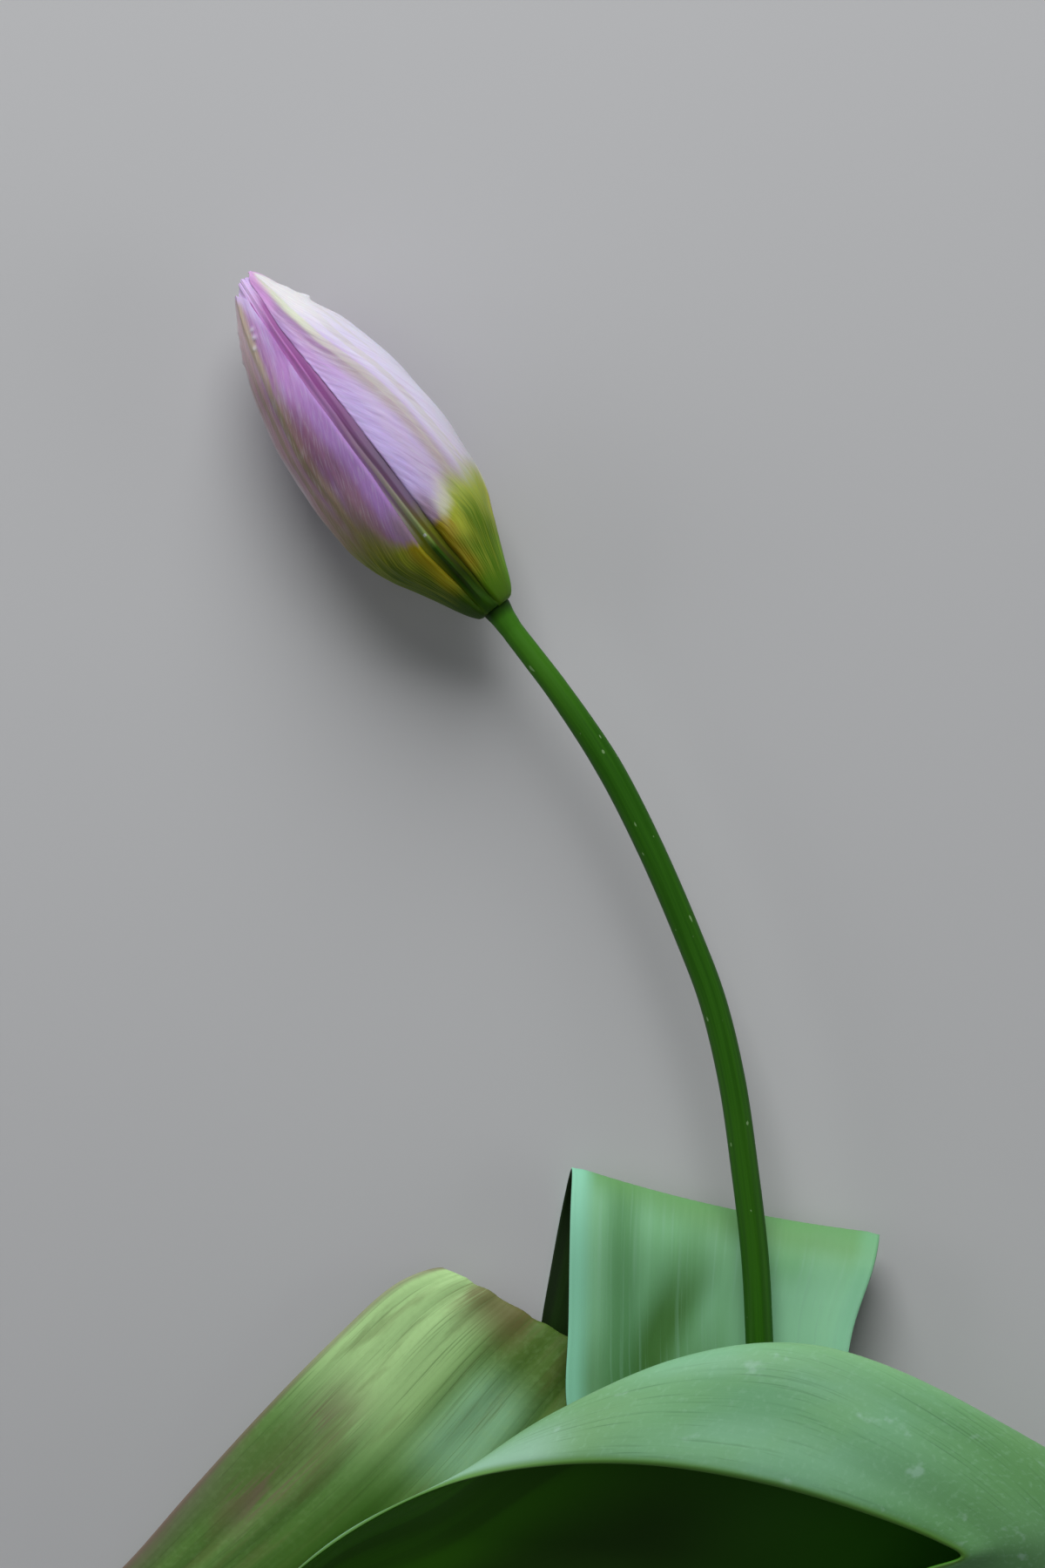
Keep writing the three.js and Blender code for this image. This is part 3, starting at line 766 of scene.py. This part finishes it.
# %% Finish
class Finish:
    """A material of some pieces. Its nodes are added one by one and end in a Principled shader."""

    def __init__(self, name, pieces):
        self.material = bpy.data.materials.new(name)
        self.material.use_nodes = True
        self.tree = self.material.node_tree
        self.tree.nodes.clear()
        for piece in pieces:
            piece.data.materials.append(self.material)

    def node(self, kind, inputs, output=0, stops=(), **settings):
        """Adds a node: its settings first, then the values or links of its sockets."""
        made = self.tree.nodes.new(kind)
        for setting, choice in settings.items():
            setattr(made, setting, choice)
        for k, (place, colour) in enumerate(stops):
            ramp = made.color_ramp.elements
            stop = ramp[k] if k < 2 else ramp.new(place)
            stop.position = place
            stop.color = colour
        for key, value in inputs.items():
            if isinstance(value, Value):
                self.tree.links.new(value.socket, made.inputs[key])
            else:
                made.inputs[key].default_value = value
        return Value(self, made.outputs[output]) if made.outputs else None

    def math(self, operation, first, second):
        return self.node("ShaderNodeMath", {0: first, 1: second}, operation=operation)

    def marks(self, *names):
        """The numbers that are kept on the points of the mesh."""
        return [self.node("ShaderNodeAttribute", {}, "Fac", attribute_name=name) for name in names]

    def mix(self, share, first, second):
        colours = {0: share, 6: tint(first), 7: tint(second)}
        return self.node("ShaderNodeMix", colours, 2, data_type="RGBA")

    def noise(self, x, y, z=0.0, detail=2.0):
        vector = self.node("ShaderNodeCombineXYZ", {"X": x, "Y": y, "Z": z})
        return self.node("ShaderNodeTexNoise", {"Vector": vector, "Scale": 1.0, "Detail": detail})

    def ramp(self, value, rows):
        stops = [(place, tint(colour)) for place, colour in rows]
        return self.node("ShaderNodeValToRGB", {"Fac": value}, stops=stops)

    def end(self, colour, roughness, height, bump_mm, **constants):
        """Ends the finish: a bump from the height, the shader and the output."""
        bump = self.node("ShaderNodeBump", {"Height": height, "Distance": bump_mm * MM, "Strength": 1.0})
        inputs = {"Base Color": colour, "Roughness": roughness, "Normal": bump}
        inputs.update({key.replace("_", " "): value for key, value in constants.items()})
        skin = self.node("ShaderNodeBsdfPrincipled", inputs)
        self.node("ShaderNodeOutputMaterial", {"Surface": skin})
        print("finish of the", self.material.name, "has", len(self.tree.nodes), "nodes")


# %% [markdown]
# ## The finish of the outer tepals
# The colours follow the organ. Each tepal has a lilac lane along the seam, a clouded middle, a tan band
# over the midrib and a paler far side, paler still where it catches the light, which is painted light. The
# right one is light and the left one dusky with painted shade, as it faces away from the light, so one
# finish is made with a set of colours for each. The base is green with yellow seam margins, and the tip is
# cream beyond the keel, whitest on the side that faces the light, which is painted light.

# %% Colours of the flower
CREAM = (214, 218, 224)
VIOLET = (146, 96, 160)
HAZE = (148, 124, 142)
MIST = (194, 176, 220)
OLIVE = (128, 122, 64)
PLUM = (150, 62, 142)
STRAW = (214, 216, 190)
LEMON = (184, 190, 62)
GOLD = (178, 150, 56)
# a dull purple laid as painted shade on the dusky tepals
SHADE_PURPLE = (124, 80, 102)

# one row for each place, with its colour on the right, the left and the lower tepal; the left colours are
# darkened with painted shade, the lower ones less so
PLACES = {
    "lip": [(226, 192, 250), (184, 140, 206), (196, 160, 214)],
    "near": [(194, 174, 226), (166, 126, 190), (178, 148, 206)],
    "middle": [(198, 180, 218), (148, 108, 140), (174, 146, 180)],
    "band": [(184, 170, 176), (146, 126, 108), (160, 144, 140)],
    "far": [(214, 206, 232), (168, 136, 144), (190, 170, 190)],
    "pink": [(192, 152, 206), (190, 140, 206), (190, 148, 206)],
    "keel": [(212, 222, 190), (182, 168, 140), (196, 196, 166)],
    "tip": [(226, 224, 226), (208, 184, 190), (208, 200, 206)],
    "tip_lip": [(206, 150, 210), (202, 182, 224), (200, 170, 214)],
    "stripe": [(198, 196, 184), (126, 126, 84), (158, 160, 120)],
    "deep": [(76, 116, 4), (50, 82, 2), (62, 100, 4)],
    "green": [(84, 116, 8), (74, 100, 6), (84, 114, 8)],
    "pale": [(168, 182, 80), (120, 126, 32), (148, 162, 64)],
    "amber": [(132, 112, 6), (158, 142, 14), (142, 130, 10)],
    "keel_half": [0.6, 1.0, 0.8],
}
RIGHT_LOOK, LEFT_LOOK, UNDER_LOOK = ({part: row[k] for part, row in PLACES.items()} for k in range(3))
print("colours of a tepal:", ", ".join(PLACES))


# %% Outer tepal lanes
def tepal_lanes(f, look, veil):
    """The lilac part in its lanes from the seam to the far side."""
    a, c, e, vein = f.marks("along", "across", "edge", "vein")
    cloud = f.noise(vein * 0.5, a * 0.13, 3.0, 3)
    wide_e = e + cloud * 2 - 1
    skin = f.mix(wide_e.rise(1.2, 2.8) * a.fall(30, 39), look["near"], look["middle"])
    skin.lay(cloud.rise(0.45, 0.65) * 0.4, look["near"])
    skin.lay(a.rise(26, 37) * c.fall(-1, 1) * 0.9, look["pink"])
    skin.lay(cloud.rise(0.48, 0.68) * a.rise(22, 30) * 0.5, MIST)
    band = abs(c + 0.5).fall(0.2, 1.5) * (1 - a.rise(30, 40) * 0.6)
    skin.lay(band * 0.95, look["band"])
    # painted shade: a dull purple patch in the middle of the dusky tepals, which face away from the light
    shade_patch = abs(a - 28).fall(1, 5) * abs(c + 1.2).fall(0.8, 2)
    skin.lay(shade_patch * (veil - 0.25), SHADE_PURPLE)
    # partly painted light: the far side is paler, and paler still with cream, where it catches the light
    skin.lay(c.rise(0.1, 1.6), look["far"])
    skin.lay(c.rise(3, 6) * 0.4, CREAM)
    stripe = f.noise(c * 1.1, a * 0.02, 8.0, 1).rise(0.48, 0.6) * c.rise(-2, 0)
    skin.lay(stripe * 0.5, look["stripe"])
    return skin


# %% Outer tepal tip and margin
def tepal_skin(f, look, veil):
    """The whole lilac part. veil, from 0 to 1, is how far an olive tone reaches up from the base."""
    a, c, e, vein, knob = f.marks("along", "across", "edge", "vein", "knob")
    streak = f.noise(vein * 3, a * 0.1, 1.0, 4)
    grain = f.noise(vein * 5, a * 0.5, 4.0, 3)
    skin = tepal_lanes(f, look, veil)
    skin.lay(abs(c + 0.7).rise(0.5, 0.1) * a.rise(31, 36) * 0.5, VIOLET)
    # partly painted light: the tip's cream beyond the keel is whitest on the side that faces the light
    skin.lay(c.rise(0, 0.7) * a.rise(34, 43), look["tip"])
    line = abs(c - 0.1).fall(0.15, look["keel_half"]) * a.rise(33, 40)
    skin.lay(line * 0.8, look["keel"])
    skin.lay(streak.rise(0.45, 0.75) * 0.25, VIOLET)
    skin.lay(grain.rise(0.45, 0.75) * 0.2, CREAM)
    lip = e.fall(0.1, 0.5) * a.rise(14, 20) * a.fall(33, 38)
    skin.lay(lip * 0.7, look["lip"])
    skin.lay(e.fall(0.2, 0.9) * a.rise(35, 38) * a.fall(40, 43) * 0.4, VIOLET)
    skin.lay(e.fall(0.4, 1.3) * a.rise(41, 43.5) * 0.85, look["tip_lip"])
    skin.lay(e.fall(0.8, 2.5) * a.fall(13, 17) * 0.9, HAZE)
    skin.lay(a.fall(13, 24) * e.rise(1.5, 5) * veil, OLIVE)
    skin.lay(knob * 0.5, CREAM)
    return skin


# %% Outer tepal base
def tepal_base(f, look, painted_shade):
    """The green part, with its lemon and amber lanes along the seam."""
    a, c, e, vein = f.marks("along", "across", "edge", "vein")
    fibre = f.noise(vein * 5, a * 0.12, 2.0, 3)
    base = f.mix(a.rise(2, 7), look["deep"], look["green"])
    base.lay(a.rise(7, 13.5), look["pale"])
    base.lay(c.rise(-1, 2) * painted_shade * 0.7, look["green"])
    base.lay(c.rise(0.5, 4) * (1 - painted_shade) * 0.35, look["pale"])
    base.lay(abs(c + 0.3).fall(0.6, 2.2) * a.fall(9, 13) * 0.6, look["deep"])
    # painted light: a brighter green on the lit far flank near the foot, which the shaded tepals lack
    base.lay(c.rise(0.5, 3) * a.fall(3, 8) * (1 - painted_shade), (86, 152, 10))
    lemon = e.rise(0.8, 2) * e.fall(2.6, 4.4) * a.rise(6, 10)
    base.lay(lemon * (0.85 - 0.75 * painted_shade), LEMON)
    amber = e.fall(0.6, 2.2) * a.rise(2.5, 6)
    base.lay(amber * 0.95, look["amber"])
    gold = abs(e - 1.5).fall(0.3, 0.9) * a.rise(8, 10)
    base.lay(gold * (0.7 - 0.6 * painted_shade), GOLD)
    base.lay(fibre.rise(0.45, 0.62) * a.rise(1, 5) * 0.35, LEMON)
    return f.mix(fibre.rise(0.5, 0.25) * (0.3 - 0.15 * painted_shade), base, look["deep"])


# %% Outer tepal finish
SOFT_SKIN = {"Subsurface_Weight": 0.1, "Subsurface_Scale": 0.0015, "Specular_IOR_Level": 0.15}


def outer_tepal_finish(tepal, look, foot, painted_shade):
    """foot is where the green of the base ends at the margins, and the last number is how much painted
    shade darkens the tepal.
    """
    f = Finish(tepal.name, [tepal])
    a, e, vein = f.marks("along", "edge", "vein")
    lobe = f.noise(vein * 0.9, a * 0.1, 6.0, 2)
    grain = f.noise(vein * 5, a * 0.8, 4.0, 3)
    skin = tepal_skin(f, look, 0.25 + 0.6 * painted_shade)
    base = tepal_base(f, look, painted_shade)
    border = a - foot - e.rise(0, 5) * (14 - foot) + (lobe - 0.5) * 3
    patch = e.rise(0.9, 2) * e.fall(2.6, 4.6) * (0.8 - painted_shade)
    base.lay(patch * border.rise(-2, 0), STRAW)
    skin.lay(patch * border.fall(0, 3), STRAW)
    soft = e.rise(0.5, 5) * (1.6 + painted_shade) + 0.7
    colour = f.mix(border.rise(0 - soft, soft), base, skin)
    f.end(colour, grain * 0.12 + 0.46, grain, 0.04, **SOFT_SKIN)


outer_tepal_finish(right_tepal, RIGHT_LOOK, foot=11.2, painted_shade=0.0)
outer_tepal_finish(left_tepal, LEFT_LOOK, foot=10.8, painted_shade=0.8)
outer_tepal_finish(under_tepal, UNDER_LOOK, foot=10.5, painted_shade=0.4)

# %% [markdown]
# ## The finish of the inner tepals
# The seam shows the darkest colours of the flower: magenta grooves, a plum strip, a pale rib between them,
# and deep green at the base. These are partly the inner tepal's own colours and partly painted shade, as
# the seam lies narrow under the outer margins. Each lane is a ramp along the tepal between a few named
# colours.


# %% Colours of the seam
MOSS = (47, 86, 4)
DEEP_MOSS = (38, 58, 2)
GRASS = (64, 101, 3)
OLIVE_GREEN = (86, 100, 3)
KHAKI = (129, 136, 34)
CLAY = (97, 93, 30)
DUSK = (92, 66, 92)
TAUPE = (118, 99, 124)
MAUVE = (142, 116, 147)
MAGENTA = (127, 64, 127)
HEATHER = (154, 94, 154)
ORCHID = (167, 101, 169)
LILAC = (172, 126, 179)
ROSE = (189, 129, 195)
DOVE = (158, 132, 156)
ASH = (180, 174, 166)
SAGE = (156, 154, 136)
BUD_GREEN = (132, 157, 76)
FRILL = (209, 183, 226)

# each lane's colours from the base to the tip, with their distances along the bud
# the grooves and the strip are partly their own colours and partly painted shade of the narrow seam
GROOVE = [
    (1, MOSS), (5, DEEP_MOSS), (12, CLAY), (17, DUSK), (23, DUSK), (32, MAGENTA), (43, HEATHER),
    (46, FRILL),
]
STRIP = [
    (1, GRASS), (5, OLIVE_GREEN), (11, KHAKI), (15, TAUPE), (21, TAUPE), (34, HEATHER), (43, LILAC),
    (46, FRILL),
]
LEFT_GROOVE = [(5, MOSS), (11, KHAKI), (17, MAUVE), (29, LILAC), (36, ORCHID), (41, ROSE), (46, FRILL)]
LEFT_STRIP = [(1, GRASS), (5, OLIVE_GREEN), (10, KHAKI), (14, ASH), (21, MAUVE), (40, ROSE), (46, FRILL)]
CREST = [
    (1, MOSS), (5, DEEP_MOSS), (9, MOSS), (10.5, BUD_GREEN), (16, SAGE), (23, DOVE), (29, LILAC),
    (36, ORCHID), (43, LILAC), (46, FRILL),
]


def lane(f, a, colours):
    """The colour of a lane at the distance a along the bud."""
    stops = [(place / BUD_LENGTH, colour) for place, colour in colours]
    return f.ramp(a * (1 / BUD_LENGTH), stops)


# %% Inner tepal finish
f = Finish("inner tepal", inner_tepals)
a, across, rib, off_rib = f.marks("along", "across", "rib", "off_rib")
streak = f.noise(across * 3, a * 0.12, 7.0, 3)
right_lanes = f.mix(off_rib.rise(0.62, 0.95), lane(f, a, GROOVE), lane(f, a, STRIP))
left_lanes = f.mix(off_rib.rise(-0.6, -0.9), lane(f, a, LEFT_GROOVE), lane(f, a, LEFT_STRIP))
skin = f.mix(off_rib.rise(-0.1, 0.1), left_lanes, right_lanes)
skin.lay(streak.rise(0.45, 0.7) * a.rise(12, 16) * 0.15, VIOLET)
notch = a.rise(41.5, 43) * a.fall(44, 44.6) * abs(off_rib + 0.85).fall(0.03, 0.15)
skin.lay(notch * 0.8, PLUM)
skin.lay(rib.rise(0.3, 0.75), lane(f, a, CREST))
drop = abs(a - DROP_AT).fall(0.08, 0.25) * abs(off_rib).fall(0.08, 0.25)
skin.lay(drop * 0.7, CREAM)
f.end(skin, streak * 0.1 + 0.45, streak, 0.05, **SOFT_SKIN)

# %% [markdown]
# ## The finish of the stem
# The stem is a plain deep green with fine lengthwise fibres and a few pale specks. The cut face is paler.
# Near the bud it is lighter, a painted highlight where it bends, and its head under the tepals is darker
# with painted shade.

# %% Stem finish
f = Finish("stem", [stem])
a, x, y = f.marks("along", "ring_x", "ring_y")
fibre = f.noise(x * 3, y * 3, a * 0.04, 2)
cloud = f.noise(x * 0.4, y * 0.4, a * 0.05, 2)
specks = f.noise(x * 1.4, y * 1.4, a * 0.9, 0).rise(0.8, 0.84)
skin = f.mix(fibre.rise(0.35, 0.65), (34, 82, 7), (42, 94, 11))
skin.lay(cloud.rise(0.4, 0.7) * 0.3, (54, 104, 20))
# painted highlight: lighter where the stem bends below the bud
skin.lay(a.fall(6, 20) * 0.6, (66, 122, 28))
skin.lay(specks * 0.5, (150, 184, 130))
# painted shade: darker at the head, under the tepals
skin.lay(a.fall(0.2, 1.5), (34, 70, 8))
skin.lay(a.rise(STEM_ROUTE.length - 0.12, STEM_ROUTE.length), (176, 200, 120))
f.end(skin, fibre * 0.1 + 0.42, fibre, 0.03, Specular_IOR_Level=0.12)

# %% [markdown]
# ## The finish of the leaves
# A waxy bloom turns the green of a leaf bluish and pale. Under it parallel veins show as thin broken dark
# lines. All leaves share the noises, and each one has its own greens and patches, some of them painted
# light and painted shade. The hollow side is drawn in dark greens that hold painted shade.


# %% What all leaves share
class LeafFinish(Finish):
    """A finish with a leaf's marks and the noises that run along its blade."""

    def __init__(self, name, pieces):
        super().__init__(name, pieces)
        self.a, self.c, self.e, self.lane, self.face = self.marks("along", "across", "edge", "lane", "face")
        self.soft = self.noise(self.lane * 3, self.a * 0.012, 1.0, 3)
        self.fine = self.noise(self.lane * 34, self.a * 0.045, 2.0, 3)
        self.cloud = self.noise(self.c * 0.09, self.a * 0.05, 3.0, 3)
        self.grain = self.noise(self.c * 1.5, self.a * 1.1, 4.0, 3)
        self.lines = self.noise(self.lane * 70, self.a * 0.06, 5.0, 3).rise(0.54, 0.7)

    def close(self, skin, hollow, bloom_face):
        """Puts the hollow's green, darkened with painted shade, on the face away from the bloom and ends
        the finish.
        """
        under = (self.face * -bloom_face).rise(-0.2, 0.2)
        height = self.fine * 0.7 + self.grain * 0.3
        roughness = self.grain * 0.15 + 0.46
        self.end(self.mix(under, skin, hollow), roughness, height, 0.03, Specular_IOR_Level=0.2)


# the greens of a leaf's hollow side: a lit green near its rim, a painted shade green deep inside, and a
# painted light green near the rim towards the base
HOLLOW_LIT = (56, 118, 10)
HOLLOW_SHADE = (38, 76, 10)
HOLLOW_RIM_LIT = (62, 132, 26)
LINE_GREEN = (58, 98, 62)

# %% Front leaf finish
f = LeafFinish("front leaf", [front_leaf])
skin = f.mix(f.soft.rise(0.35, 0.65), (108, 165, 119), (126, 180, 140))
skin.lay(f.cloud.rise(0.42, 0.62) * 0.4, (118, 172, 112))
skin.lay(f.lane.rise(-0.4, 0) * 0.5, (142, 192, 134))
# painted shade: darker and yellower towards the base, where the leaf turns away from the light
skin.lay(f.a.fall(60, 86) * 0.8, (92, 144, 84))
skin.lay(f.a.rise(106, 118) * 0.7, (114, 160, 108))
# painted reflection: a pale bluish sheen near the margin towards the tip
skin.lay(f.a.rise(116, 126) * f.lane.fall(-0.9, -0.4) * 0.7, (150, 192, 170))
skin.lay(f.grain.rise(0.5, 0.75) * 0.2, (152, 200, 166))
skin.lay(f.lines * f.cloud.rise(0.4, 0.52) * 0.35, LINE_GREEN)
scuffs = f.noise(f.c * 0.28, f.a * 0.2, 6.0, 4).rise(0.62, 0.72)
skin.lay(scuffs * 0.3, (178, 212, 200))
skin.lay(f.e.fall(0.2, 1.2) * 0.9, (84, 132, 46))
# painted shade: the hollow is darker further in, with darker blotches, and painted light near its rim
# towards the base
hollow = f.mix(f.lane.rise(0.4, 0.8), HOLLOW_LIT, HOLLOW_SHADE)
hollow.lay(f.soft.rise(0.45, 0.65) * 0.5, HOLLOW_SHADE)
hollow.lay(f.a.fall(92, 116), HOLLOW_RIM_LIT)
f.close(skin, hollow, -1)

# %% Left leaf finish
# Painted light below the ridge and painted shade to the right and towards the tip, with soft brown purple
# patches
f = LeafFinish("left leaf", [left_leaf])
skin = f.mix(f.soft.rise(0.35, 0.65), (92, 136, 62), (110, 154, 84))
skin.lay(f.cloud.rise(0.4, 0.65) * 0.25, (132, 172, 110))
# painted light: pale where the blade below the ridge faces the light
lit_below_ridge = f.lane.fall(-0.6, 0.1) * f.a.fall(80, 96)
skin.lay(lit_below_ridge * 0.9, (186, 226, 156))
pool = abs(f.lane - 0.18).fall(0.1, 0.4) * abs(f.a - 77).fall(3, 12)
skin.lay(pool * 0.7, (144, 194, 156))
# painted shade: darker towards the tip under the front leaf, and on the right side near the base beside the
# back leaf
skin.lay(f.a.rise(84, 100) * 0.75, (84, 122, 50))
skin.lay(f.lane.rise(-0.4, 0) * f.a.fall(67, 75) * 0.95, (80, 112, 42))
skin.lay(f.grain.rise(0.45, 0.7) * 0.12, (146, 184, 118))
shaded = f.lane.rise(-0.45, 0.05) * f.a.rise(81, 93)
skin.lay(shaded * 0.9, (60, 104, 26))
skin.lay(f.lines * 0.4, (66, 92, 42))
at_ridge = f.a.fall(64, 71) * abs(f.lane + 0.35).fall(0.2, 0.5)
at_left = abs(f.lane + 0.62).fall(0.05, 0.3) * f.a.rise(80, 92) * f.a.fall(100, 110)
blotch = (f.cloud + f.fine * 0.5).rise(0.72, 0.84)
skin.lay(at_ridge * (blotch * 0.6 + 0.25), (108, 98, 58))
skin.lay(at_left * (blotch * 0.6 + 0.2), (122, 104, 88))
mottle = f.noise(f.lane * 8, f.a * 0.07, 9.0, 4).rise(0.5, 0.66) * f.e.fall(9, 18)
skin.lay(mottle * 0.35, (98, 104, 56))
at_margin = f.e.fall(0.3, 4) * f.a.rise(92, 108) * f.lane.fall(-0.5, 0)
skin.lay(at_margin * 0.6, (106, 92, 86))
skin.lay(f.e.fall(0.1, 0.9) * 0.6, (128, 100, 98))
# the hollow side mixes a painted shade green and a lit green
hollow = f.mix(f.soft.rise(0.4, 0.6), HOLLOW_SHADE, HOLLOW_LIT)
f.close(skin, hollow, 1)

# %% Back leaf finish
# Bluish where it is lit, as painted light, with a darker stripe of painted shade that slants down to the
# left, pale margins partly of painted rim light, and a green fold
f = LeafFinish("back leaf", [back_leaf])
skin = f.mix(f.soft.rise(0.35, 0.65), (120, 180, 128), (132, 190, 146))
# painted light: pale and bluish right of the middle
skin.lay(f.lane.rise(0.05, 0.5) * f.a.fall(38, 43) * 0.9, (156, 218, 176))
low = f.a.fall(28, 38) * f.lane.fall(-0.1, 0.2)
skin.lay(low * 0.6, (88, 136, 82))
# painted shade: the darker stripe of a groove, slanting down to the left
slant = abs(f.lane + 1.33 - f.a * 0.028)
stripe = slant.fall(0.04, 0.28) * (1 - f.a.rise(35, 43) * 0.7)
skin.lay(stripe * 0.9, (68, 116, 50))
skin.lay(abs(f.lane + 0.66).fall(0.02, 0.18) * (f.soft + 0.2), (80, 136, 80))
skin.lay(f.fine.rise(0.5, 0.7) * 0.25, (146, 196, 166))
skin.lay((f.a + f.lane * 2).rise(43, 47) * 0.8, (104, 158, 94))
# partly painted rim light: the margins are paler, most on the left
skin.lay(f.e.fall(0.8, 3.2) * (1 - f.lane.rise(-0.5, 0.5) * 0.7), (138, 206, 174))
# painted shade: the face away from the bloom is drawn nearly black green
hollow = f.mix(f.soft.rise(0.4, 0.6), (14, 36, 2), (24, 54, 4))
f.close(skin, hollow, -1)

# %% [markdown]
# ## The finish of the organs inside
# The ovary is pale green and smooth, and the stamens are yellow with mealy pollen. The closed bud
# hides them.


# %% Ovary and stamen finish
def organ_finish(name, organs, low, high, fresh, aged, roughness, bump_mm):
    """A finish that turns from one colour to another between two places along the organ."""
    f = Finish(name, organs)
    a, x, y = f.marks("along", "ring_x", "ring_y")
    grain = f.noise(x * 4, y * 4, a * 4, 3)
    skin = f.mix(a.rise(low, high), fresh, aged)
    skin.lay(grain.rise(0.5, 0.7) * 0.3, CREAM)
    f.end(skin, grain * 0.2 + roughness, grain, bump_mm)


organ_finish("ovary", [ovary], 16, 18, (150, 176, 84), (214, 208, 120), 0.4, 0.04)
organ_finish("stamen", stamens, 9, 10, (206, 198, 90), (204, 150, 40), 0.6, 0.12)

# %% Floor finish
f = Finish("floor", [floor])
place = f.node("ShaderNodeTexCoord", {}, "Object")
cloud = f.node("ShaderNodeTexNoise", {"Vector": place, "Scale": 3.0, "Detail": 3.0})
f.end(f.mix(cloud, (184, 185, 187), (192, 193, 195)), 0.8, cloud, 0.1)
